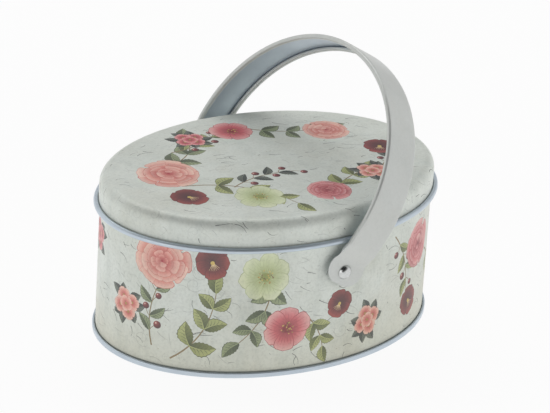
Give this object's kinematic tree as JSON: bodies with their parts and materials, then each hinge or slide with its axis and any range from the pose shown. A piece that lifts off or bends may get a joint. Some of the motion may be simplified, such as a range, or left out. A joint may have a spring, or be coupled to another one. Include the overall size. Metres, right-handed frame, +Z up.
{
  "type": "oval tin with handle",
  "caption": "Oval printed tin box with a slip-over lid, rolled metal rims and an arched strap handle that swings on side rivets.",
  "frame": {"origin": "middle of the base, on the plane that the tin stands on", "axes": "+Z up, +X along the long side of the oval, towards the end that the handle leans to"},
  "size_m": [0.149, 0.119, 0.1123],
  "materials": {
    "printed_wall": "semi-gloss printed lacquer",
    "printed_lid": "semi-gloss printed lacquer",
    "printed_strap": "semi-gloss lacquer",
    "bare_tinplate": "satin tinplate",
    "bright_steel": "bright plated steel"
  },
  "bodies": {
    "tin": {"body_wall": "printed_wall", "base_panel": "bare_tinplate", "front_rivet": "bright_steel", "rear_rivet": "bright_steel", "front_spacer": "bright_steel", "rear_spacer": "bright_steel", "front_backing": "bright_steel", "rear_backing": "bright_steel"},
    "lid": {"lid": "printed_lid"},
    "handle": {"handle_strap": "printed_strap"}
  },
  "joints": [
    {"name": "handle_swing", "type": "hinge", "parent": "tin", "child": "handle", "pos_m": [0, 0, 0.0416], "axis": [0, 1, 0], "range_deg": [-131.9, 68.1]},
    {"name": "lid_lift", "type": "slide", "parent": "tin", "child": "lid", "axis": [0, 0, 1], "range_m": [0, 0.018]}
  ]
}
